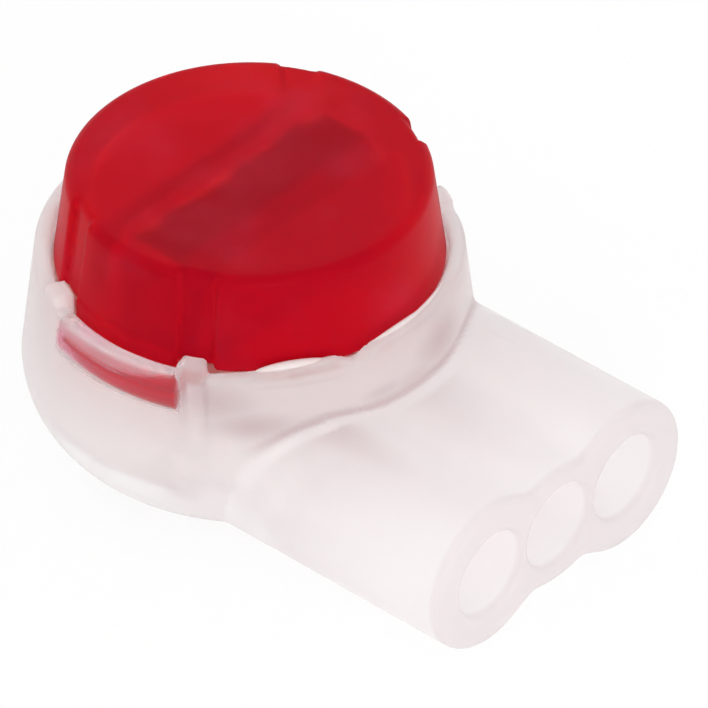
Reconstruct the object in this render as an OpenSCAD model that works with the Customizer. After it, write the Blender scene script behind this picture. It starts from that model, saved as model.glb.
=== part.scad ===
// Gel-filled splice connector for three insulated wires.
// The origin lies on the cup's axis at its underside. +X runs along the wire ports towards
// their mouths, +Z runs up through the press cap. Sizes are in millimetres, and the cap
// stands in its raised position, before it is pressed down over the wires.

/* [Cup] */
// Outer diameter at the rim
cup_rim_d = 14; // [13.7:0.1:14.6]
// Outer diameter at the belly, where the bowl begins
cup_belly_d = 15; // [14.6:0.1:16]
// Inner diameter
cup_inner_d = 13; // [12.6:0.1:13.2]
// Height of the rim above the underside
cup_h = 7.45; // [7.2:0.05:8.2]
// Radius of the bowl-shaped lower edge
bowl_r = 3.25; // [2.4:0.05:3.5]
// Radius of the round corner at the foot of the cavity
cavity_corner_r = 0.8; // [0.4:0.1:1.2]
// How far the rim dips on both sides of each guide rib
rim_dip = 0.4; // [0.2:0.05:0.5]
// Length over which the rim rises again, away from the latches
rim_slope_l = 3; // [2:0.1:3.6]
// Bevel along the rim's edges
rim_bevel = 0.08; // [0.04:0.01:0.1]

/* [Guide ribs and latches] */
// Angle of each guide rib from the sideways direction, in degrees
rib_angle = 26; // [26:0.5:32]
// Width of a guide rib
rib_w = 0.9; // [0.8:0.05:1]
// How far a guide rib stands in from the cup's inner wall
rib_depth = 0.22; // [0.15:0.01:0.3]
// Half of the angle that a latch lug covers, in degrees
lug_angle = 21.5; // [14:0.5:21.5]
// Depth of the latch pocket in the cup's inner wall
pocket_depth = 0.22; // [0.15:0.01:0.26]
// Height of the lip that holds the latch lug down
lip_h = 0.9; // [0.7:0.05:1]
// Height of the barb on the latch lug
barb_h = 0.7; // [0.5:0.05:0.8]

/* [Wire ports] */
// Distance between neighbouring wires
port_pitch = 3.3; // [3.2:0.05:3.5]
// Outer diameter of the two side tubes
port_tube_d = 5.4; // [5:0.1:5.6]
// Outer diameter of the middle tube
port_middle_d = 4.2; // [3.8:0.1:4.6]
// Diameter of the straight stretch of each port
port_bore_d = 2.4; // [2:0.1:2.6]
// Diameter of each port at its mouth
port_mouth_d = 3.1; // [2.8:0.05:3.15]
// Length of the tapered lead-in behind each mouth
port_lead_l = 3.5; // [2:0.1:4.5]
// Distance from the cup's axis to the mouths
port_reach = 13.4; // [12.5:0.1:15]
// Bevel round the end of each tube
port_bevel = 0.15; // [0.05:0.05:0.3]
// Thickness of the web between the tubes at the mouths
web_mouth_t = 3.9; // [3.4:0.1:4.2]
// Height of the web's top where it meets the cup
web_shoulder_z = 5.3; // [4.8:0.1:5.5]
// Distance from the cup's axis to the ends of the wires
wire_stop = 4.4; // [3:0.1:4.6]

/* [Cap] */
// Diameter at the top edge
cap_top_d = 12; // [11.6:0.1:12.2]
// Height of the cap's rim, without its latch lugs
cap_h = 3.4; // [3.2:0.05:3.5]
// How far the raised cap stands above the cup's rim
cap_proud = 2.95; // [2.8:0.05:3]
// How far the cap is pressed down
press_travel = 2.8; // [2.4:0.05:2.8]
// Thickness of the top
cap_top_t = 1; // [0.8:0.05:1.2]
// Thickness of the rim and of the latch lugs
cap_wall = 0.9; // [0.7:0.05:1]
// Bevel round the top edge
cap_bevel = 0.18; // [0.05:0.01:0.3]
// Wall thickness of the box that holds the contact
holder_wall = 0.6; // [0.4:0.05:0.8]
// Height of the box that holds the contact
holder_h = 2.6; // [2:0.05:2.8]

/* [Contact] */
// Length across the wires
contact_l = 8.9; // [8.5:0.1:9]
// Width over both legs
contact_w = 3.2; // [2.6:0.1:3.4]
// Sheet thickness
contact_t = 0.5; // [0.4:0.05:0.6]
// Outer bend radius
contact_bend_r = 0.7; // [0.6:0.05:0.9]
// Width of the slot that grips a wire
slot_w = 0.4; // [0.3:0.05:0.5]
// How far the slot runs up from the leg tip
slot_h = 2.5; // [2:0.1:3]
// How far the pressed leg tips reach below the wires' centres
leg_reach = 1.2; // [1:0.1:1.3]
// Diameter of the relief hole at the slot's end
slot_relief_d = 0.64; // [0.54:0.02:0.8]
// Width of the slot's mouth
slot_mouth_w = 1.1; // [0.8:0.1:1.4]
// Height of the slot's mouth
slot_mouth_h = 0.6; // [0.4:0.05:0.8]
// Bevel at the outer corners of each leg
tip_bevel = 0.35; // [0.2:0.05:0.5]

/* [Clearances] */
// Between the cap and the cup
cap_gap = 0.1; // [0.06:0.01:0.14]
// Between the latch barb and the lip above it
latch_gap = 0.1; // [0.05:0.01:0.15]
// Between a groove's side and its guide rib
groove_gap = 0.12; // [0.08:0.01:0.2]
// Between the contact and the box that holds it
contact_gap = 0.02; // [0.01:0.01:0.05]
// Between a contact leg and its slot in the cup's deck
leg_gap = 0.1; // [0.05:0.01:0.15]
// Between the pressed leg tips and the floor of their slots
tip_gap = 0.2; // [0.1:0.05:0.3]
// Between the gel and what it surrounds
gel_gap = 0.1; // [0.05:0.01:0.15]
// Between the pressed latch lugs and the floor of their pockets
pocket_gap = 0.2; // [0.1:0.05:0.3]
// How much wider the wire troughs are than the ports
trough_gap = 0.2; // [0.16:0.02:0.3]

/* [Hidden] */

CURVE = 96;
ARC_STEPS = 12;
CUT = 1;
SIDES = [90, 270];
PORTS = [-port_pitch, 0, port_pitch];

rim_r = cup_rim_d / 2;
belly_r = cup_belly_d / 2;
cavity_r = cup_inner_d / 2;
axis_z = port_tube_d / 2;
deck_z = axis_z;
bore_r = port_bore_d / 2;
trough_r = bore_r + trough_gap;

rib_angles = [for (side = SIDES, turn = [-rib_angle, rib_angle]) side + turn];
rib_r = cavity_r - rib_depth;
groove_w = rib_w + 2 * groove_gap;

cap_top_z = cup_h + cap_proud;
cap_edge_z = cap_top_z - cap_bevel;
skirt_z = cap_top_z - cap_h;
skirt_r = cavity_r - cap_gap;
ceiling_z = cap_top_z - cap_top_t;
holder_z = ceiling_z - holder_h;

lip_z = cup_h - rim_dip - lip_h;
pocket_r = cavity_r + pocket_depth;
barb_r = pocket_r - cap_gap;
barb_top_z = lip_z - latch_gap;
lug_z = barb_top_z - barb_h;
pocket_z = min(deck_z, lug_z - press_travel - pocket_gap);
pocket_angle = lug_angle + asin(2 * cap_gap / cavity_r);
dip_angle = rib_angle - asin(rib_w / 2 / rib_r);

leg_x = (contact_w - contact_t) / 2;
tip_z = axis_z - leg_reach + press_travel;
leg_slot_z = axis_z - leg_reach - tip_gap;
gel_top_z = deck_z + press_travel + gel_gap;

// Points of a round corner about [cx, cz], from one angle to another
function corner(cx, cz, r, from, to) =
    [for (i = [0:ARC_STEPS]) let (a = from + (to - from) * i / ARC_STEPS)
        [cx + r * cos(a), cz + r * sin(a)]];

// Radius of the cap's tapered side at a height
function cap_r(z) =
    skirt_r + (cap_top_d / 2 - skirt_r) * (z - skirt_z) / (cap_edge_z - skirt_z);

module revolve(angle = 360) {
    rotate_extrude(angle = angle, $fn = CURVE) children();
}

// Turns its children about the axis so that they are centred on each latch
module at_latches(half_angle) {
    for (side = SIDES) rotate([0, 0, side - half_angle]) children();
}

// A rod along X, from one place to another
module rod(y, from, to, r1, r2) {
    translate([from, y, axis_z]) rotate([0, 90, 0])
        cylinder(h = to - from, r1 = r1, r2 = r2, $fn = CURVE);
}

module cup_body() {
    revolve() polygon(concat(
        [[0, 0]],
        corner(belly_r - bowl_r, bowl_r, bowl_r, -90, 0),
        [[rim_r, cup_h - rim_bevel], [rim_r - rim_bevel, cup_h], [0, cup_h]]));
}

module tube(y, r) {
    rod(y, 0, port_reach - port_bevel, r, r);
    rod(y, port_reach - port_bevel, port_reach, r, r - port_bevel);
}

// The web that joins the tubes falls from the cup's shoulder towards the mouths
module web() {
    low_z = axis_z - web_mouth_t / 2;
    high_z = axis_z + web_mouth_t / 2;
    rotate([90, 0, 0]) linear_extrude(height = 2 * port_pitch, center = true)
        polygon([[0, low_z], [port_reach - port_bevel, low_z], [port_reach - port_bevel, high_z],
            [rim_r, web_shoulder_z], [0, web_shoulder_z]]);
}

// Cavity above the deck, smaller all round by a gap
module cavity_form(gap, top_z) {
    r = cavity_r - gap;
    revolve() polygon(concat(
        [[0, deck_z]],
        corner(r - cavity_corner_r, deck_z + cavity_corner_r, cavity_corner_r, -90, 0),
        [[r, top_z], [0, top_z]]));
}

// The four guide ribs, wider and deeper by a gap
module ribs(gap) {
    difference() {
        for (a = rib_angles) rotate([0, 0, a])
            translate([0, -rib_w / 2 - gap, 0]) cube([belly_r, rib_w + 2 * gap, cup_h + CUT]);
        translate([0, 0, -CUT])
            cylinder(h = cup_h + 3 * CUT, r = rib_r - gap, $fn = CURVE);
    }
}

// Room for the contact's legs, from a floor upwards
module leg_slots(floor_z, top_z) {
    for (x = [-leg_x, leg_x])
        translate([x - contact_t / 2 - leg_gap, -contact_l / 2 - leg_gap, floor_z])
            cube([contact_t + 2 * leg_gap, contact_l + 2 * leg_gap, top_z - floor_z]);
}

// Pockets that the latch lugs slide down
module latch_pockets() {
    in_r = skirt_r - cap_wall - cap_gap;
    at_latches(pocket_angle) revolve(2 * pocket_angle)
        polygon([[in_r, pocket_z], [pocket_r, pocket_z], [pocket_r, lip_z], [in_r, lip_z]]);
}

// Wedges that slope the rim down to the guide ribs' outer sides, and run on above the rim
module rim_slopes() {
    low_z = cup_h - rim_dip;
    top_z = cup_h + CUT;
    near = rib_w / 2;
    far = near + rim_slope_l * (top_z - low_z) / rim_dip;
    for (side = SIDES, turn = [-1, 1]) rotate([0, 0, side + turn * rib_angle])
        translate([rib_r / 2, 0, 0]) rotate([90, 0, 90]) linear_extrude(height = belly_r)
            polygon([[turn * near, low_z], [turn * far, top_z], [turn * near, top_z]]);
}

module housing() color([0.95, 0.92, 0.92, 0.5]) {
    difference() {
        union() {
            cup_body();
            for (y = [-port_pitch, port_pitch]) tube(y, port_tube_d / 2);
            tube(0, port_middle_d / 2);
            web();
        }
        difference() {
            cavity_form(0, cup_h + CUT);
            ribs(0);
        }
        latch_pockets();
        at_latches(dip_angle) revolve(2 * dip_angle)
            polygon([[rib_r - CUT, cup_h - rim_dip], [belly_r + CUT, cup_h - rim_dip],
                [belly_r + CUT, cup_h + CUT], [rib_r - CUT, cup_h + CUT]]);
        rim_slopes();
        for (y = PORTS) {
            rod(y, -wire_stop, cavity_r, trough_r, trough_r);
            rod(y, cavity_r - CUT, port_reach, bore_r, bore_r);
            rod(y, port_reach - port_lead_l, port_reach, bore_r, port_mouth_d / 2);
            rod(y, port_reach, port_reach + CUT, port_mouth_d / 2, port_mouth_d / 2);
        }
        leg_slots(leg_slot_z, deck_z + CUT);
    }
}

module cap() color([0.78, 0.05, 0.12, 0.9]) {
    wall_r = skirt_r - cap_wall;
    difference() {
        union() {
            difference() {
                revolve() polygon([[0, skirt_z], [skirt_r, skirt_z], [cap_top_d / 2, cap_edge_z],
                    [cap_top_d / 2 - cap_bevel, cap_top_z], [0, cap_top_z]]);
                revolve() polygon([[0, skirt_z - CUT], [wall_r, skirt_z - CUT], [wall_r, skirt_z],
                    [cap_r(ceiling_z) - cap_wall, ceiling_z], [0, ceiling_z]]);
            }
            contact_holder(wall_r);
            latch_lugs(wall_r);
        }
        grooves();
        translate([-contact_w / 2 - contact_gap, -contact_l / 2 - contact_gap, holder_z - CUT])
            cube([contact_w + 2 * contact_gap, contact_l + 2 * contact_gap, holder_h + CUT]);
    }
}

// Box under the cap's top that grips the contact, and reaches the rim on both sides
module contact_holder(wall_r) {
    w = contact_w + 2 * (contact_gap + holder_wall);
    intersection() {
        translate([-w / 2, -skirt_r, holder_z]) cube([w, 2 * skirt_r, holder_h + cap_top_t / 2]);
        translate([0, 0, holder_z - CUT])
            cylinder(h = holder_h + cap_top_t + CUT, r = wall_r + cap_wall / 4, $fn = CURVE);
    }
}

// Lugs that snap under the cup's lips and slide down its pockets
module latch_lugs(wall_r) {
    root_r = wall_r + cap_wall / 2;
    at_latches(lug_angle) revolve(2 * lug_angle)
        polygon([[wall_r, lug_z], [skirt_r, lug_z], [barb_r, lug_z + barb_r - skirt_r],
            [barb_r, barb_top_z], [skirt_r, barb_top_z], [skirt_r, skirt_z],
            [root_r, skirt_z], [root_r, skirt_z + cap_wall / 2], [wall_r, skirt_z + cap_wall / 2]]);
}

// Grooves down the cap's side that run on the guide ribs
module grooves() {
    low_z = barb_top_z;
    high_z = cap_top_z + CUT;
    difference() {
        for (a = rib_angles) rotate([0, 0, a])
            translate([0, -groove_w / 2, low_z]) cube([skirt_r + CUT, groove_w, high_z - low_z]);
        translate([0, 0, low_z - CUT])
            cylinder(h = high_z - low_z + 2 * CUT, r1 = cap_r(low_z - CUT) - rib_depth,
                r2 = cap_r(high_z + CUT) - rib_depth, $fn = CURVE);
    }
}

module contact() color([0.66, 0.62, 0.55]) {
    difference() {
        intersection() {
            contact_sheet();
            contact_outline();
        }
        for (y = PORTS) translate([0, y, tip_z]) wire_slot();
    }
}

// The sheet bent into a channel that opens downwards
module contact_sheet() {
    half = contact_w / 2;
    bend = contact_bend_r;
    in_r = contact_bend_r - contact_t;
    rotate([90, 0, 0]) linear_extrude(height = contact_l, center = true)
        polygon(concat(
            [[half, tip_z - CUT]], corner(half - bend, ceiling_z - bend, bend, 0, 90),
            corner(bend - half, ceiling_z - bend, bend, 90, 180), [[-half, tip_z - CUT]],
            [[contact_t - half, tip_z - CUT]], corner(bend - half, ceiling_z - bend, in_r, 180, 90),
            corner(half - bend, ceiling_z - bend, in_r, 90, 0), [[half - contact_t, tip_z - CUT]]));
}

// Front view of a leg, with its outer corners bevelled
module contact_outline() {
    half = contact_l / 2;
    rotate([90, 0, 90]) linear_extrude(height = contact_w + 2 * CUT, center = true)
        polygon([[tip_bevel - half, tip_z], [half - tip_bevel, tip_z], [half, tip_z + tip_bevel],
            [half, ceiling_z + CUT], [-half, ceiling_z + CUT], [-half, tip_z + tip_bevel]]);
}

// Slot that cuts through the insulation: a flared mouth, a narrow throat and a relief hole
module wire_slot() {
    length = contact_w + 2 * CUT;
    rotate([90, 0, 90]) linear_extrude(height = length, center = true)
        polygon([[-slot_mouth_w / 2, -CUT], [slot_mouth_w / 2, -CUT], [slot_mouth_w / 2, 0],
            [slot_w / 2, slot_mouth_h], [slot_w / 2, slot_h], [-slot_w / 2, slot_h],
            [-slot_w / 2, slot_mouth_h], [-slot_mouth_w / 2, 0]]);
    translate([-length / 2, 0, slot_h]) rotate([0, 90, 0])
        cylinder(h = length, d = slot_relief_d, $fn = 32);
}

module gel() color([0.9, 0.88, 0.8, 0.3]) {
    difference() {
        cavity_form(gel_gap, gel_top_z);
        ribs(gel_gap);
        leg_slots(deck_z - CUT, gel_top_z + CUT);
        latch_room();
    }
}

// Room for the latch lugs in the gel's edge
module latch_room() {
    in_r = skirt_r - cap_wall - gel_gap;
    at_latches(pocket_angle) revolve(2 * pocket_angle)
        polygon([[in_r, deck_z - CUT], [cavity_r, deck_z - CUT],
            [cavity_r, gel_top_z + CUT], [in_r, gel_top_z + CUT]]);
}

housing();
cap();
contact();
gel();
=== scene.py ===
import math

import bpy
import numpy as np
from mathutils import Matrix, Vector


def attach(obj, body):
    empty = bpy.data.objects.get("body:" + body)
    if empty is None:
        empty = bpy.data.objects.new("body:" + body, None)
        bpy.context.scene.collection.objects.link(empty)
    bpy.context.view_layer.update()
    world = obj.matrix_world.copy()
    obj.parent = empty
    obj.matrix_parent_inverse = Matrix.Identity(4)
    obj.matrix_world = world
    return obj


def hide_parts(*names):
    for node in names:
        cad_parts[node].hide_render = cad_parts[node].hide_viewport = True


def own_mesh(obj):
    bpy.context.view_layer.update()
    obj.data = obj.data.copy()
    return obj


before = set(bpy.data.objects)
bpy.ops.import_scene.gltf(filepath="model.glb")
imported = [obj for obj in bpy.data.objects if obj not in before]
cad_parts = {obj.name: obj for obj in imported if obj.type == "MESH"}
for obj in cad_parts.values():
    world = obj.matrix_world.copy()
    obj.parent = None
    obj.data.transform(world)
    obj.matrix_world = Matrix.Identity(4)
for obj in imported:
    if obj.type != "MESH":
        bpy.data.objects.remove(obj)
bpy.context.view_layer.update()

# Sizes below are millimetres and degrees, and meshes are turned to metres as they are made. A shape is worked
# out as a field: a number at every point of space, which is below zero inside the piece.
mm = 0.001


# Intersection of two fields with a round edge: an arc of the given radius joins the two surfaces.
def roundMax(a, b, radius):
    inner = np.minimum(np.maximum(a, b), -radius)
    return inner + np.hypot(np.maximum(a + radius, 0), np.maximum(b + radius, 0))


# Union of two fields with a fillet of the given radius between them.
def roundMin(a, b, radius):
    return -roundMax(-a, -b, radius)


# Distance outside a wedge that spans the given angle on each side of the Y axis, on both sides of the object.
def sectorField(x, y, angle):
    a = np.radians(angle)
    return np.abs(x) * np.cos(a) - np.abs(y) * np.sin(a)


# Below zero between the two given values.
def between(value, low, high):
    return np.maximum(low - value, value - high)


# A straight ramp: 0 at the start, 1 at the end, and level before and after.
def fade(value, start, end):
    return np.clip((value - start) / (end - start), 0, 1)


# A straight mix of two values, by a share from 0 to 1.
def mixed(first, second, share):
    return first + (second - first) * share


# One clear moulding: cup, tubes, ribs, latch pockets, troughs.
housing = {
    "rimRadius": 7.0,
    "bellyRadius": 7.49,
    "bowlRadius": 3.25,
    "rimHeight": 7.45,
    "rimDip": 0.4,
    "rimSlope": 3.0,
    "rimRound": 0.15,
    "dent": 0.3,
    "dentAngle": -18.0,
    "dentSpan": 5.0,
    "dentLift": 0.1,
    "cavityRadius": 6.5,
    "deckHeight": 2.7,
    "cavityCorner": 0.8,
    "dipAngle": 21.9,
    "ribAngle": 26.0,
    "ribWidth": 0.9,
    "ribRadius": 6.28,
    "ribRound": 0.08,
    "pocketAngle": 23.26,
    "pocketRadii": (5.4, 6.72),
    "pocketHeights": (2.35, 6.15),
    "portPitch": 3.3,
    "portHeight": 2.7,
    "tubeRadius": 2.7,
    "middleRadius": 2.1,
    "webLow": 0.75,
    "webHigh": (5.3, 4.65),
    "reach": 13.4,
    "boreStart": 5.5,
    "boreRadius": 1.2,
    "mouthRadius": 1.55,
    "leadLength": 3.5,
    "troughRadius": 1.4,
    "wireStop": 4.4,
    "shoulderFillet": 0.1,
    "valleyFillet": 0.4,
    "tubeRound": 0.22,
    "mouthRound": 0.1,
    "box": ((-7.7, -7.7, -0.2), (13.7, 7.7, 7.7)),
    "cell": 0.13,
}

# Slots in the deck and in the gel for the contact's two legs: their place, half width and half length, their
# floor, and how far above the deck they are cut.
legs = {"place": 1.35, "halfWidth": 0.35, "halfLength": 4.55, "floor": 1.3, "above": 1.0}


# Distance from the nearest of the three ports' centre lines, which run along X.
def portDistance(y, z):
    line = housing["portPitch"] * np.clip(np.round(y / housing["portPitch"]), -1, 1)
    return np.hypot(y - line, z - housing["portHeight"])


# Two upright slots, seen from above: distance outside the nearer rectangle.
def legSlots(x, y):
    return np.maximum(np.abs(np.abs(x) - legs["place"]) - legs["halfWidth"], np.abs(y) - legs["halfLength"])


# The four guide ribs, seen from above: distance outside a strip along each rib's direction.
def ribField(x, y):
    return np.abs(sectorField(x, y, housing["ribAngle"])) - housing["ribWidth"] / 2


# The cup's outside: a cone on a round bowl, cut level at the rim.
def cupField(x, y, z):
    h = housing
    r = np.hypot(x, y)
    taper = (h["bellyRadius"] - h["rimRadius"]) / (h["rimHeight"] - h["bowlRadius"])
    side = (r - h["bellyRadius"] + taper * np.maximum(z - h["bowlRadius"], 0)) / math.hypot(1, taper)
    return roundMax(roundMax(side, -z, h["bowlRadius"]), z - h["rimHeight"], h["rimRound"])


# The rim's cuts: a dip over each latch, a slope down to each rib's outer side, and a shallow dent above the
# ports, which falls off as a bell curve of the angle.
def rimCuts(x, y, z):
    h = housing
    low = h["rimHeight"] - h["rimDip"]
    dip = np.maximum(low - z, sectorField(x, y, h["dipAngle"]))
    away = sectorField(x, y, h["ribAngle"]) - h["ribWidth"] / 2
    slope = np.maximum(low + away * h["rimDip"] / h["rimSlope"] - z, -away)
    turn = (np.degrees(np.arctan2(y, x)) - h["dentAngle"]) / h["dentSpan"]
    dent = h["rimHeight"] + h["dentLift"] - (h["dent"] + h["dentLift"]) * np.exp(-turn ** 2) - z
    return np.minimum(np.minimum(dip, slope), dent)


# The ports: two thick tubes, a thin one between them and a web that falls towards the mouths.
def blockField(x, y, z):
    h = housing
    high = mixed(*h["webHigh"], fade(x, h["rimRadius"], h["reach"]))
    web = np.maximum(between(z, h["webLow"], high), np.abs(y) - h["portPitch"])
    tubes = np.hypot(np.abs(y) - h["portPitch"], z - h["portHeight"]) - h["tubeRadius"]
    middle = np.hypot(y, z - h["portHeight"]) - h["middleRadius"]
    block = roundMin(roundMin(tubes, web, h["valleyFillet"]), middle, h["valleyFillet"])
    return np.maximum(roundMax(block, x - h["reach"], h["tubeRound"]), -x)


# What is hollow inside the cup: the cavity with its ribs left in, the latch pockets, the troughs and the
# slots for the contact's legs.
def hollowField(x, y, z):
    h = housing
    r = np.hypot(x, y)
    cavity = roundMax(r - h["cavityRadius"], h["deckHeight"] - z, h["cavityCorner"])
    cavity = np.maximum(cavity, -roundMax(ribField(x, y), h["ribRadius"] - r, h["ribRound"]))
    pocket = np.maximum(between(r, *h["pocketRadii"]), between(z, *h["pocketHeights"]))
    pocket = np.maximum(pocket, sectorField(x, y, h["pocketAngle"]))
    trough = np.maximum(portDistance(y, z) - h["troughRadius"], between(x, -h["wireStop"], h["cavityRadius"]))
    slot = np.maximum(legSlots(x, y), between(z, legs["floor"], h["deckHeight"] + legs["above"]))
    return np.minimum(np.minimum(cavity, pocket), np.minimum(trough, slot))


# The housing: cup and ports, less the hollow, the rim's cuts and three bores that widen towards their mouths.
def housingField(x, y, z):
    h = housing
    body = np.maximum(roundMin(cupField(x, y, z), blockField(x, y, z), h["shoulderFillet"]), -z)
    body = roundMax(body, -hollowField(x, y, z), h["rimRound"])
    body = roundMax(body, -rimCuts(x, y, z), h["rimRound"])
    radius = mixed(h["boreRadius"], h["mouthRadius"], fade(x - h["reach"], -h["leadLength"], 0))
    return roundMax(body, -np.maximum(portDistance(y, z) - radius, h["boreStart"] - x), h["mouthRound"])


# One red moulding: top, tapered side with grooves, latch lugs, contact holder. The holder ends within the
# wall, at a share of its thickness. The ceiling over the contact lies a little below the metal's top, because
# two surfaces in one place render black.
cap = {
    "topHeight": 10.4,
    "topRadius": 6.0,
    "skirtHeight": 7.0,
    "skirtRadius": 6.4,
    "wall": 0.9,
    "topThickness": 1.0,
    "edgeRound": 0.35,
    "innerRound": 0.25,
    "rimRound": 0.08,
    "grooveRound": 0.2,
    "grooveWidth": 1.14,
    "grooveDepth": 0.22,
    "lugAngle": 21.5,
    "lugHeight": 5.35,
    "lugRound": 0.06,
    "barbRadius": 6.62,
    "barbTop": 6.05,
    "barbLead": 0.1,
    "barbRound": 0.05,
    "holderHalf": 2.22,
    "holderHeight": 6.8,
    "holderInset": 0.75,
    "holderFillet": 0.1,
    "contactHalf": (1.62, 4.47),
    "contactAir": -0.02,
    "box": ((-6.9, -6.9, 5.1), (6.9, 6.9, 10.6)),
    "cell": 0.12,
}


# The cap: a hollow cone with grooves, two lugs with barbs below it, and a box across its inside, less the
# room for the contact.
def capField(x, y, z):
    c = cap
    r = np.hypot(x, y)
    taper = (c["skirtRadius"] - c["topRadius"]) / (c["topHeight"] - c["edgeRound"] - c["skirtHeight"])
    coneRadius = c["skirtRadius"] - taper * np.maximum(z - c["skirtHeight"], 0)
    side = (r - coneRadius) / math.hypot(1, taper)
    outer = roundMax(side, z - c["topHeight"], c["edgeRound"])
    hollow = roundMax(side + c["wall"], z - c["topHeight"] + c["topThickness"], c["innerRound"])
    shell = roundMax(roundMax(outer, c["skirtHeight"] - z, c["rimRound"]), -hollow, c["rimRound"])
    holder = np.maximum(np.abs(x) - c["holderHalf"], c["holderHeight"] - z)
    holder = np.maximum(holder, side + c["wall"] * c["holderInset"])
    holder = np.maximum(holder, z - c["topHeight"] + c["topThickness"] / 2)
    plate = between(r, c["skirtRadius"] - c["wall"], c["skirtRadius"])
    plate = np.maximum(plate, between(z, c["lugHeight"], c["skirtHeight"] + c["wall"] / 2))
    barb = between(r, c["skirtRadius"] - c["wall"], c["barbRadius"])
    barb = np.maximum(barb, between(z, c["lugHeight"], c["barbTop"]))
    barb = roundMax(barb, (r - c["barbRadius"]) + (c["lugHeight"] + c["barbLead"] - z), c["barbRound"])
    lug = roundMax(np.minimum(plate, barb), sectorField(x, y, c["lugAngle"]), c["lugRound"])
    body = np.minimum(roundMin(shell, holder, c["holderFillet"]), lug)
    groove = np.abs(sectorField(x, y, housing["ribAngle"])) - c["grooveWidth"] / 2
    groove = np.maximum(np.maximum(groove, coneRadius - c["grooveDepth"] - r), c["barbTop"] - z)
    body = roundMax(body, -groove, c["grooveRound"])
    room = np.maximum(np.abs(x) - c["contactHalf"][0], np.abs(y) - c["contactHalf"][1])
    room = np.maximum(room, z - c["topHeight"] + c["topThickness"] - c["contactAir"])
    return np.maximum(body, -room)


# Sealing gel: level in the middle, and drawn up the cup's wall to just below the cap's side. The pressed cap
# squashes it to a share of its height.
gel = {
    "radius": 6.52,
    "level": 5.6,
    "climb": (5.5, 6.4),
    "climbHeight": 1.3,
    "edgeRound": 0.1,
    "squashed": 0.35,
    "box": ((-6.9, -6.9, 2.4), (6.9, 6.9, 7.2)),
    "cell": 0.15,
}


# The gel: a disc whose top climbs towards the cup's wall, with the square of the way there. It leaves room
# for the ribs, the lugs and the contact's legs.
def gelField(x, y, z):
    g, h = gel, housing
    r = np.hypot(x, y)
    top = g["level"] + g["climbHeight"] * fade(r, *g["climb"]) ** 2
    body = roundMax(r - g["radius"], h["deckHeight"] - z, h["cavityCorner"])
    body = roundMax(body, z - top, g["edgeRound"])
    rib = np.maximum(ribField(x, y), h["ribRadius"] - r)
    lug = np.maximum(h["pocketRadii"][0] - r, sectorField(x, y, h["pocketAngle"]))
    return np.maximum(body, -np.minimum(np.minimum(rib, lug), legSlots(x, y)))


# Gel that was pressed out between cap and rim, in beads along a circle. Each has a middle angle, half its
# span, its height at the ends and in the middle, and its radius. All are a little thinner, so that their ends
# close.
bead = {
    "circle": 6.62,
    "beads": ((-35.0, 12.0, 7.2, 7.36, 0.2), (-1.0, 12.5, 7.36, 7.47, 0.11), (11.0, 17.0, 7.4, 7.45, 0.08)),
    "thinner": 0.02,
    "box": ((4.0, -5.4, 6.9), (6.9, 3.4, 7.7)),
    "cell": 0.05,
}


# The beads: a circle carried along an arc. Its radius is the root of a parabola over the arc's angle, and its
# height follows the parabola.
def beadField(x, y, z):
    turn = np.degrees(np.arctan2(y, x))
    fields = []
    for middle, half, low, high, radius in bead["beads"]:
        along = np.clip(1 - ((turn - middle) / half) ** 2, 0, 1)
        away = np.hypot(np.hypot(x, y) - bead["circle"], z - mixed(low, high, along))
        fields.append(away - radius * np.sqrt(along) + bead["thinner"])
    return np.minimum.reduce(fields)


# How points settle on a surface: the number of steps, how far to each side the field's slope is measured and
# how long a step may be, both as shares of a cell, and the least square of a slope.
settle = {"steps": 3, "probe": 0.05, "longest": 0.5, "leastSlope": 0.25}


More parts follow.
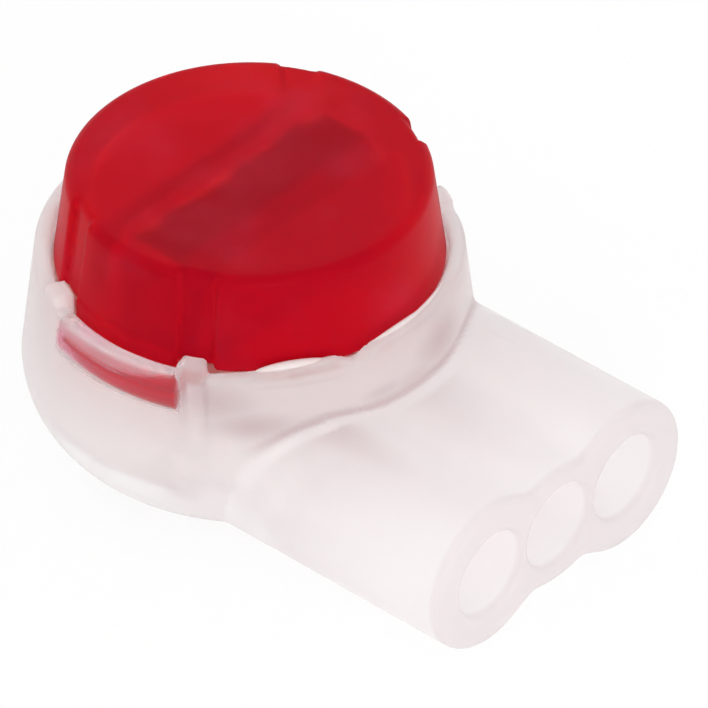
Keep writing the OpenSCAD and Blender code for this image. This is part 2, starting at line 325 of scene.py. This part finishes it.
# Surface of a field: one point in each cell that the surface crosses, at the mean of the crossings of the
# cell's edges, four-sided faces between neighbouring cells, and steps along the field's slope to zero.
def surfaceOf(field, box, cell):
    axes = [np.arange(box[0][i], box[1][i] + cell, cell) for i in range(3)]
    v = field(*np.meshgrid(*axes, indexing="ij"))
    inside = v < 0
    n = [len(a) - 1 for a in axes]
    total = np.zeros((n[0], n[1], n[2], 3))
    count = np.zeros((n[0], n[1], n[2]))
    for axis in range(3):
        a = np.take(v, range(n[axis]), axis)
        b = np.take(v, range(1, n[axis] + 1), axis)
        cross = (a < 0) != (b < 0)
        share = np.where(cross, a / np.where(cross, a - b, 1), 0)
        others = [i for i in range(3) if i != axis]
        for du in (0, 1):
            for dv in (0, 1):
                cut = [slice(0, n[axis])] * 3
                cut[others[0]] = slice(du, du + n[others[0]])
                cut[others[1]] = slice(dv, dv + n[others[1]])
                hit = cross[tuple(cut)]
                count += hit
                total[..., axis] += np.where(hit, share[tuple(cut)], 0)
                total[..., others[0]] += du * hit
                total[..., others[1]] += dv * hit
    used = count > 0
    index = np.full(used.shape, -1)
    index[used] = np.arange(used.sum())
    cells = np.argwhere(used)
    corner = np.array([axes[i][cells[:, i]] for i in range(3)]).T
    points = corner + cell * total[used] / count[used][:, None]
    faces = []
    for axis in range(3):
        u, w = (axis + 1) % 3, (axis + 2) % 3
        a = np.take(inside, range(n[axis]), axis)
        b = np.take(inside, range(1, n[axis] + 1), axis)
        at = np.argwhere(a != b)
        at = at[(at[:, u] > 0) & (at[:, w] > 0) & (at[:, u] < n[u]) & (at[:, w] < n[w])]
        forward = a[tuple(at.T)]
        corners = []
        for du, dw in ((1, 1), (0, 1), (0, 0), (1, 0)):
            c = at.copy()
            c[:, u] -= du
            c[:, w] -= dw
            corners.append(index[tuple(c.T)])
        quad = np.array(corners).T
        quad[~forward] = quad[~forward][:, ::-1]
        faces.append(quad)
    probe = cell * settle["probe"]
    longest = cell * settle["longest"]
    for _ in range(settle["steps"]):
        ahead = [field(*(points + probe * e).T) for e in np.eye(3)]
        behind = [field(*(points - probe * e).T) for e in np.eye(3)]
        slope = (np.array(ahead) - np.array(behind)).T / (2 * probe)
        square = np.maximum((slope ** 2).sum(1), settle["leastSlope"])
        move = -field(*points.T)[:, None] * slope / square[:, None]
        points += np.clip(move, -longest, longest)
    return points, np.concatenate(faces)


# Shares of milk in the clear moulding, and where they change. A pair for a ramp is where it starts and where
# it is complete. A window is the clear part of the wall over a latch lug. It has half its angle on the far
# and on the near side, the heights of its lower edge and of the lip above it, and how they rise and lean.
milk = {
    "nearWall": 0.38,
    "farWall": 0.66,
    "farRim": 0.85,
    "farRimZ": 6.95,
    "thick": 0.8,
    "farX": (2.5, -1.5),
    "portX": (6.3, 8.3),
    "bowlZ": (5.4, 3.8),
    "windowAngles": (19.0, 23.0),
    "windowZ": (5.6, 6.2),
    "windowRise": 0.65,
    "windowRiseX": 2.6,
    "windowLean": 0.55,
    "below": 0.6,
    "lip": 0.25,
    # The rim's share and place: a painted highlight along its outer top edge over the latches.
    "rim": 0.6,
    "rimRadius": 6.86,
    "rimZ": 6.93,
    "pocketEnds": 0.85,
    "pocketSkin": 0.06,
    "pocketY": 5.0,
    "edge": 0.2,
    # Where the painted red over the lugs stops, below the rim's painted highlight.
    "lugRedTop": 6.8,
    # Place and size of the painted highlight on the block, just below the crease.
    "lineAway": 0.35,
    "lineWidth": 0.2,
    "lineX": 4.0,
    "lineZ": (3.2, 4.0),
}


# The clear window over a latch lug, seen from above: 1 inside it, 0 outside.
def windowOf(x, y):
    angle = np.where(x < 0, *milk["windowAngles"])
    return fade(sectorField(x, y, angle), milk["edge"] / 2, -milk["edge"] / 2)


# How far the windows' edges lie higher, because the wall leans: a share of the distance outside the pockets.
def leanOf(x, y):
    return milk["windowLean"] * (np.hypot(x, y) - housing["pocketRadii"][1])


# A painted highlight on the ports' block, just outside the crease where it meets the cup: a bell curve of the
# distance from the cup, which turns the milk there full white.
def creaseHighlight(x, y, z):
    line = np.exp(-((cupField(x, y, z) - milk["lineAway"]) / milk["lineWidth"]) ** 2)
    return line * (x > milk["lineX"]) * fade(z, *milk["lineZ"])


# How milky the clear moulding is at each point, from 0 to 1: most where it is thick, in the bowl and the
# ports, less in the cup's wall, least in its wall above the ports, and hardly over the latch lugs, where the
# pockets leave a thin wall. The rim's outer edge over the latches is made milky again as a painted highlight,
# and the pockets' ends are milky again too. Just below the crease between cup and ports the milk is full, as
# a painted highlight.
def milkOf(x, y, z):
    m = milk
    edge = m["edge"]
    r = np.hypot(x, y)
    far = fade(x, *m["farX"])
    share = mixed(m["nearWall"], m["farWall"], far)
    share = mixed(share, m["farRim"], far * fade(z - m["farRimZ"], 0, edge))
    share = mixed(share, m["thick"], np.maximum(fade(x, *m["portX"]), fade(z, *m["bowlZ"])))
    share = mixed(share, 1, creaseHighlight(x, y, z))
    pocket = (r < housing["pocketRadii"][1] + m["pocketSkin"]) * (np.abs(y) > m["pocketY"])
    pocket = pocket * (z < housing["pocketHeights"][1] + m["pocketSkin"])
    ends = fade(sectorField(x, y, m["windowAngles"][0]), -edge / 2, edge / 2)
    share = mixed(share, m["pocketEnds"], ends * pocket)
    height = z - leanOf(x, y)
    window = m["below"] * fade(height - m["windowZ"][0], 0, -edge)
    lip = m["windowZ"][1] + m["windowRise"] * fade(x, 0, m["windowRiseX"]) ** 2
    window = window + m["lip"] * fade(height - lip, 0, edge)
    rim = fade(z - m["rimZ"], 0, edge) * fade(r - m["rimRadius"], 0, edge)
    window = window + (m["rim"] - m["lip"]) * rim
    return mixed(share, window, windowOf(x, y))


# Painted red in the clear windows, from 0 to 1: the clear wall is tinted crimson where the lugs' red shows
# through it, all over but for the rim's painted white highlight.
def paintedLugRedOf(x, y, z):
    m = milk
    above = fade(z - leanOf(x, y) - m["windowZ"][0], 0, m["edge"])
    return windowOf(x, y) * above * (1 - fade(z - m["lugRedTop"], 0, m["edge"]))


# Painted shade: where the clear moulding is tinted a shaded grey-rose instead of white. A band runs along the
# ports, and has its place across them, half its width and its share. A spot is an angle and a height, half
# its size in degrees and in millimetres, and its share.
rose = {
    "crease": 0.75,
    "creaseWidths": (0.22, 0.12),
    "creaseX": 2.0,
    "creaseRadius": 6.7,
    "creaseZ": (4.3, 5.1),
    "ring": 0.12,
    "ringX": (2.0, 4.0),
    "ringZ": (5.0, 5.5),
    "block": 0.06,
    "blockX": (14.5, 6.8),
    "blockZ": (0.0, 2.0),
    "blockAway": 0.5,
    "bands": ((-3.6, 0.7, 0.4), (0.1, 1.1, 0.34)),
    "bandZ": 3.0,
    "ends": 0.22,
    "endDepth": 0.35,
    "endFade": 0.15,
    "endRadius": 1.48,
    "spots": (
        (-47.0, 5.45, 11.0, 0.5, 0.65),
        (-57.0, 6.3, 11.0, 0.7, 0.55),
        (-35.0, 6.9, 16.0, 0.15, 0.3),
        (-11.0, 5.75, 8.0, 0.3, 0.4),
        (12.0, 6.2, 11.0, 0.8, 0.6),
        (0.0, 5.6, 12.0, 0.5, 0.35),
        (-62.0, 2.6, 12.0, 1.6, 0.2),
    ),
    "spotSkin": 0.05,
}


# How much painted shade the clear moulding has at each point, from 0 to 1: darkest in the crease between cup
# and ports, faintly in the cup's wall above the ports, on the block near the cup and in bands along the
# ports, on the ports' end faces, and in darker spots in the cup's wall. Crease, bands and spots are bell
# curves.
def paintedShadeOf(x, y, z):
    t = rose
    away = np.maximum(cupField(x, y, z), 0)
    beside = np.maximum(blockField(x, y, z), 0)
    crease = np.exp(-(beside / t["creaseWidths"][0]) ** 2) * np.exp(-(away / t["creaseWidths"][1]) ** 2)
    crease = crease * (x > t["creaseX"]) * (np.hypot(x, y) > t["creaseRadius"])
    share = t["crease"] * crease * fade(z, *t["creaseZ"])
    share = np.maximum(share, t["ring"] * fade(x, *t["ringX"]) * fade(z, *t["ringZ"]))
    band = sum(most * np.exp(-((y - place) / wide) ** 2) for place, wide, most in t["bands"])
    block = (t["block"] + band * (z > t["bandZ"])) * fade(x, *t["blockX"]) ** 2 * fade(z, *t["blockZ"])
    share = np.maximum(share, block * fade(away - creaseHighlight(x, y, z), 0, t["blockAway"]))
    ends = fade(x - housing["reach"] + t["endDepth"], 0, t["endFade"]) * (portDistance(y, z) > t["endRadius"])
    share = np.maximum(share, t["ends"] * ends)
    turn = np.degrees(np.arctan2(y, x))
    for angle, height, wide, tall, most in t["spots"]:
        spot = np.exp(-((turn - angle) / wide) ** 2 - ((z - height) / tall) ** 2)
        share = np.maximum(share, most * spot * (away < t["spotSkin"]))
    return share


# A mesh object from points in millimetres and faces, smooth all over.
def meshPiece(name, points, faces, material):
    mesh = bpy.data.meshes.new(name)
    mesh.from_pydata((points * mm).tolist(), [], faces.tolist())
    mesh.polygons.foreach_set("use_smooth", np.ones(len(mesh.polygons), bool))
    mesh.materials.append(material)
    mesh.update()
    piece = bpy.data.objects.new(name, mesh)
    bpy.context.scene.collection.objects.link(piece)
    return piece


# An sRGB hex value as linear red, green, blue and alpha.
def colour(text):
    value = [int(text[i:i + 2], 16) / 255 for i in (1, 3, 5)]
    return [c / 12.92 if c <= 0.04045 else ((c + 0.055) / 1.055) ** 2.4 for c in value] + [1.0]


# Adds a node with its settings and inputs. An input is a value, or a link in the form (node, output name).
def addNode(tree, kind, settings=None, inputs=None):
    node = tree.nodes.new(kind)
    for key, value in (settings or {}).items():
        setattr(node, key, value)
    for key, value in (inputs or {}).items():
        if isinstance(value, tuple):
            tree.links.new(value[0].outputs[value[1]], node.inputs[key])
        else:
            node.inputs[key].default_value = value
    return node


# An empty material and its node tree.
def newMaterial(name):
    material = bpy.data.materials.new(name)
    material.use_nodes = True
    material.node_tree.nodes.clear()
    return material, material.node_tree


# How many finer layers the noise of every cloud and mottle below has.
cloudDetail = 2.0


# Natural polypropylene, as moulded: clear, with a milk that is set for each point of the mesh, and faint
# clouds in it.
# The milk passes on half of the light it scatters. Painted shade tints glass and milk grey-rose, and painted
# red tints the glass over the latch lugs, both set for each point of the mesh.
def clearPolypropylene():
    look = {
        "glass": "#ffffff",
        "milk": "#fffdfd",
        # The next two colours are painted: a grey-rose shade, and a crimson for the lugs' red seen through
        # the wall.
        "rose": "#ccb2b8",
        "blush": "#ff90b8",
        "passed": 0.5,
        "cloudSize": 4.0,
        "cloud": 0.15,
        "cloudFrom": (0.35, 0.65),
        "transmission": 0.98,
        "clearRoughness": 0.2,
        "milkyRoughness": 0.28,
        "ior": 1.35,
        "specular": 0.3,
        "gloss": 0.3,
        "glossRoughness": 0.12,
    }
    material, tree = newMaterial("clearPolypropylene")
    place = addNode(tree, "ShaderNodeTexCoord")
    milkShare = addNode(tree, "ShaderNodeAttribute", {"attribute_name": "milk"})
    shadeShare = addNode(tree, "ShaderNodeAttribute", {"attribute_name": "rose"})
    lugRedShare = addNode(tree, "ShaderNodeAttribute", {"attribute_name": "blush"})
    noise = addNode(tree, "ShaderNodeTexNoise", inputs={
        "Vector": (place, "Object"), "Scale": 1 / (look["cloudSize"] * mm), "Detail": cloudDetail})
    cloud = addNode(tree, "ShaderNodeMapRange", inputs={
        "Value": (noise, "Fac"), "From Min": look["cloudFrom"][0], "From Max": look["cloudFrom"][1],
        "To Min": 1 - look["cloud"], "To Max": 1.0})
    milky = addNode(tree, "ShaderNodeMath", {"operation": "MULTIPLY"}, {
        0: (milkShare, "Fac"), 1: (cloud, "Result")})
    shadeAmount = addNode(tree, "ShaderNodeMath", {"operation": "MULTIPLY"}, {
        0: (shadeShare, "Fac"), 1: (cloud, "Result")})
    rough = addNode(tree, "ShaderNodeMapRange", inputs={
        "Value": (milkShare, "Fac"), "From Max": milk["nearWall"],
        "To Min": look["clearRoughness"], "To Max": look["milkyRoughness"]})
    clear = addNode(tree, "ShaderNodeMix", {"data_type": "RGBA"}, {
        "Factor": (shadeAmount, "Value"), "A": colour(look["glass"]), "B": colour(look["rose"])})
    red = addNode(tree, "ShaderNodeMix", {"data_type": "RGBA"}, {
        "Factor": (lugRedShare, "Fac"), "A": (clear, "Result"), "B": colour(look["blush"])})
    glass = addNode(tree, "ShaderNodeBsdfPrincipled", inputs={
        "Base Color": (red, "Result"), "Roughness": (rough, "Result"), "IOR": look["ior"],
        "Transmission Weight": look["transmission"], "Specular IOR Level": look["specular"],
        "Coat Weight": look["gloss"], "Coat Roughness": look["glossRoughness"]})
    tint = addNode(tree, "ShaderNodeMix", {"data_type": "RGBA"}, {
        "Factor": (shadeAmount, "Value"), "A": colour(look["milk"]), "B": colour(look["rose"])})
    sent = addNode(tree, "ShaderNodeBsdfDiffuse", inputs={"Color": (tint, "Result")})
    passed = addNode(tree, "ShaderNodeBsdfTranslucent", inputs={"Color": (tint, "Result")})
    body = addNode(tree, "ShaderNodeMixShader", inputs={
        0: look["passed"], 1: (sent, "BSDF"), 2: (passed, "BSDF")})
    both = addNode(tree, "ShaderNodeMixShader", inputs={
        0: (milky, "Value"), 1: (glass, "BSDF"), 2: (body, "Shader")})
    addNode(tree, "ShaderNodeOutputMaterial", inputs={"Surface": (both, "Shader")})
    return material


# Red polypropylene, as moulded: half see-through, so that the contact shows as a brown strip below the top.
# Light that passes through it turns orange-red, and pale clouds lie in it.
def redPolypropylene():
    look = {
        "glass": "#fa2a1a",
        "red": "#d20c2f",
        "cloud": "#dc2c4a",
        "cloudSize": 3.0,
        "cloudFrom": (0.5, 0.75),
        "share": 0.64,
        "roughness": 0.36,
        "ior": 1.2,
        "specular": 0.05,
        "specularTint": 0.3,
    }
    material, tree = newMaterial("redPolypropylene")
    place = addNode(tree, "ShaderNodeTexCoord")
    noise = addNode(tree, "ShaderNodeTexNoise", inputs={
        "Vector": (place, "Object"), "Scale": 1 / (look["cloudSize"] * mm), "Detail": cloudDetail})
    cloud = addNode(tree, "ShaderNodeMapRange", inputs={
        "Value": (noise, "Fac"), "From Min": look["cloudFrom"][0], "From Max": look["cloudFrom"][1]})
    glass = addNode(tree, "ShaderNodeBsdfPrincipled", inputs={
        "Base Color": colour(look["glass"]), "Roughness": look["roughness"], "IOR": look["ior"],
        "Transmission Weight": 1.0, "Specular IOR Level": look["specular"],
        "Specular Tint": [look["specularTint"]] * 3 + [1.0]})
    tint = addNode(tree, "ShaderNodeMix", {"data_type": "RGBA"}, {
        "Factor": (cloud, "Result"), "A": colour(look["red"]), "B": colour(look["cloud"])})
    body = addNode(tree, "ShaderNodeBsdfDiffuse", inputs={"Color": (tint, "Result")})
    both = addNode(tree, "ShaderNodeMixShader", inputs={
        0: look["share"], 1: (body, "BSDF"), 2: (glass, "BSDF")})
    addNode(tree, "ShaderNodeOutputMaterial", inputs={"Surface": (both, "Shader")})
    return material


# Tin-plated brass sheet, stamped: bright on its bends and legs, and painted shade along its flat, a little
# off its
# middle: a dark brown with lighter mottles, which looks brown through the red cap. The mottles make the edge
# between the two uneven.
def tinPlate():
    look = {
        # The flat's two browns are painted shade; the bright colour is the tin's own.
        "tin": "#7c6430",
        "mottle": "#a08a4c",
        "bright": "#f2e2cc",
        "mottleSize": 1.2,
        "shadePlace": 0.32,
        "shadeHalf": (1.0, 1.5),
        "uneven": 1.2,
        "roughness": 0.5,
    }
    material, tree = newMaterial("tinPlate")
    place = addNode(tree, "ShaderNodeTexCoord")
    noise = addNode(tree, "ShaderNodeTexNoise", inputs={
        "Vector": (place, "Object"), "Scale": 1 / (look["mottleSize"] * mm), "Detail": cloudDetail})
    split = addNode(tree, "ShaderNodeSeparateXYZ", inputs={0: (place, "Object")})
    across = addNode(tree, "ShaderNodeMath", {"operation": "SUBTRACT"}, {
        0: (split, "X"), 1: look["shadePlace"] * mm})
    across = addNode(tree, "ShaderNodeMath", {"operation": "ABSOLUTE"}, {0: (across, "Value")})
    across = addNode(tree, "ShaderNodeMath", {"operation": "MULTIPLY_ADD"}, {
        0: (noise, "Fac"), 1: look["uneven"] * mm, 2: (across, "Value")})
    half = look["uneven"] / 2
    edge = addNode(tree, "ShaderNodeMapRange", inputs={
        "Value": (across, "Value"), "From Min": (look["shadeHalf"][0] + half) * mm,
        "From Max": (look["shadeHalf"][1] + half) * mm})
    # Painted shade on the flat: dark brown with lighter mottles.
    shadedFlat = addNode(tree, "ShaderNodeMix", {"data_type": "RGBA"}, {
        "Factor": (noise, "Fac"), "A": colour(look["tin"]), "B": colour(look["mottle"])})
    tint = addNode(tree, "ShaderNodeMix", {"data_type": "RGBA"}, {
        "Factor": (edge, "Result"), "A": (shadedFlat, "Result"), "B": colour(look["bright"])})
    shader = addNode(tree, "ShaderNodeBsdfPrincipled", inputs={
        "Base Color": (tint, "Result"), "Roughness": look["roughness"], "Metallic": 1.0})
    addNode(tree, "ShaderNodeOutputMaterial", inputs={"Surface": (shader, "BSDF")})
    return material


# Sealing gel: wet and milky, which hides the troughs and the contact's legs. Thin clouds lie in it.
def clearGel():
    look = {
        "gel": "#fffcfa",
        "cloud": "#f6eeee",
        "cloudSize": 2.0,
        "share": 0.3,
        "roughness": 0.3,
        "ior": 1.33,
    }
    material, tree = newMaterial("clearGel")
    place = addNode(tree, "ShaderNodeTexCoord")
    noise = addNode(tree, "ShaderNodeTexNoise", inputs={
        "Vector": (place, "Object"), "Scale": 1 / (look["cloudSize"] * mm), "Detail": cloudDetail})
    tint = addNode(tree, "ShaderNodeMix", {"data_type": "RGBA"}, {
        "Factor": (noise, "Fac"), "A": colour(look["gel"]), "B": colour(look["cloud"])})
    shader = addNode(tree, "ShaderNodeBsdfPrincipled", inputs={
        "Base Color": (tint, "Result"), "Roughness": look["roughness"], "IOR": look["ior"],
        "Transmission Weight": look["share"]})
    addNode(tree, "ShaderNodeOutputMaterial", inputs={"Surface": (shader, "BSDF")})
    return material


# White paper, which takes the object's soft shadow. Most of what the eye, glass and gloss see of it is plain
# white, so the shadow is faint.
def whitePaper():
    look = {"paper": "#ffffff", "plain": 0.85}
    material, tree = newMaterial("whitePaper")
    path = addNode(tree, "ShaderNodeLightPath")
    seen = addNode(tree, "ShaderNodeMath", {"operation": "MAXIMUM"}, {
        0: (path, "Is Camera Ray"), 1: (path, "Is Glossy Ray")})
    seen = addNode(tree, "ShaderNodeMath", {"operation": "MAXIMUM"}, {
        0: (seen, "Value"), 1: (path, "Is Transmission Ray")})
    share = addNode(tree, "ShaderNodeMath", {"operation": "MULTIPLY"}, {0: (seen, "Value"), 1: look["plain"]})
    diffuse = addNode(tree, "ShaderNodeBsdfDiffuse", inputs={"Color": colour(look["paper"])})
    plain = addNode(tree, "ShaderNodeEmission", inputs={"Color": colour(look["paper"]), "Strength": 1.0})
    both = addNode(tree, "ShaderNodeMixShader", inputs={
        0: (share, "Value"), 1: (diffuse, "BSDF"), 2: (plain, "Emission")})
    addNode(tree, "ShaderNodeOutputMaterial", inputs={"Surface": (both, "Shader")})
    return material


# The direction from the object towards a camera or lamp. It turns from -Y at azimuth 0 to +X at 90.
def directionTo(azimuth, elevation):
    a, e = math.radians(azimuth), math.radians(elevation)
    return Vector((math.cos(e) * math.sin(a), -math.cos(e) * math.cos(a), math.sin(e)))


# The photograph's camera: a long lens that looks down on the cap and the ports.
camera = {
    "azimuth": 41.712,
    "elevation": 38.148,
    "distance": 400.0,
    "aim": (0.0, 0.0, 5.0),
    "moveRight": 3.387,
    "moveUp": -1.77,
    "sensor": 36.0,
    "lens": 623.2,
    "clip": (10.0, 10000.0),
}


# Puts the camera level, at its distance from the aim, which is moved sideways and down to frame the object.
def makeCamera():
    a = math.radians(camera["azimuth"])
    back = directionTo(camera["azimuth"], camera["elevation"])
    right = Vector((math.cos(a), math.sin(a), 0))
    up = back.cross(right)
    aim = Vector(camera["aim"]) + camera["moveRight"] * right + camera["moveUp"] * up
    lens = bpy.data.cameras.new("photoCamera")
    lens.sensor_width = camera["sensor"]
    lens.lens = camera["lens"]
    lens.clip_start = camera["clip"][0] * mm
    lens.clip_end = camera["clip"][1] * mm
    photoCamera = bpy.data.objects.new("photoCamera", lens)
    turn = Matrix((right, up, back)).transposed().to_4x4()
    photoCamera.matrix_world = Matrix.Translation((aim + back * camera["distance"]) * mm) @ turn
    bpy.context.scene.collection.objects.link(photoCamera)
    bpy.context.scene.camera = photoCamera


# An even white surround, and one square lamp low beside the camera, which lights the sides more than the top.
# Light crosses many clear surfaces here, so its paths are long, and no filter blurs them.
studio = {
    "azimuth": 55.0,
    "elevation": 20.0,
    "distance": 150.0,
    "size": 40.0,
    "power": 0.038,
    "surround": "#ffffff",
    "surroundStrength": 0.95,
    "floorHalf": 2000.0,
    "paths": 48,
    "diffusePaths": 16,
}


# The floor, the lamp, the surround and the settings for light.
def makeStudio():
    corners = np.array([[-1, -1, 0], [1, -1, 0], [1, 1, 0], [-1, 1, 0]]) * studio["floorHalf"]
    floor = meshPiece("floor", corners, np.array([[0, 1, 2, 3]]), whitePaper())
    lamp = bpy.data.lights.new("softbox", "AREA")
    lamp.energy = studio["power"]
    lamp.size = studio["size"] * mm
    softbox = bpy.data.objects.new("softbox", lamp)
    away = directionTo(studio["azimuth"], studio["elevation"])
    turn = away.to_track_quat("Z", "Y").to_matrix().to_4x4()
    softbox.matrix_world = Matrix.Translation(away * studio["distance"] * mm) @ turn
    bpy.context.scene.collection.objects.link(softbox)
    world = bpy.data.worlds.new("studio")
    bpy.context.scene.world = world
    world.use_nodes = True
    background = world.node_tree.nodes["Background"]
    background.inputs["Color"].default_value = colour(studio["surround"])
    background.inputs["Strength"].default_value = studio["surroundStrength"]
    scene = bpy.context.scene
    scene.view_settings.view_transform = "Standard"
    scene.cycles.max_bounces = studio["paths"]
    scene.cycles.transmission_bounces = studio["paths"]
    scene.cycles.glossy_bounces = studio["paths"]
    scene.cycles.diffuse_bounces = studio["diffusePaths"]
    scene.cycles.blur_glossy = 0


makeCamera()
makeStudio()
print("stage: camera and lights")

points, faces = surfaceOf(housingField, housing["box"], housing["cell"])
housingPiece = meshPiece("clearHousing", points, faces, clearPolypropylene())
# Shares for each point: the milk, which holds painted highlights too, the painted red over the lugs and the
# painted shade.
for name, shareOf in (("milk", milkOf), ("blush", paintedLugRedOf), ("rose", paintedShadeOf)):
    shares = housingPiece.data.attributes.new(name, "FLOAT", "POINT")
    shares.data.foreach_set("value", shareOf(*points.T))
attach(housingPiece, "housing")
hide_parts("housing")
print("stage: housing", len(faces), "faces")

points, faces = surfaceOf(capField, cap["box"], cap["cell"])
capPiece = meshPiece("redCap", points, faces, redPolypropylene())
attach(capPiece, "cap")
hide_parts("cap")
print("stage: cap", len(faces), "faces")

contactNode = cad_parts["contact"]
contactNode.data.materials.clear()
contactNode.data.materials.append(tinPlate())
print("stage: contact in tin plate")

points, faces = surfaceOf(gelField, gel["box"], gel["cell"])
gelPiece = meshPiece("sealingGel", points, faces, clearGel())
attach(gelPiece, "housing")
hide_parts("gel")
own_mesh(gelPiece)
print("stage: gel", len(faces), "faces")

points, faces = surfaceOf(beadField, bead["box"], bead["cell"])
beadPiece = meshPiece("gelBead", points, faces, gelPiece.data.materials[0])
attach(beadPiece, "housing")
print("stage: gel on the rim", len(faces), "faces")
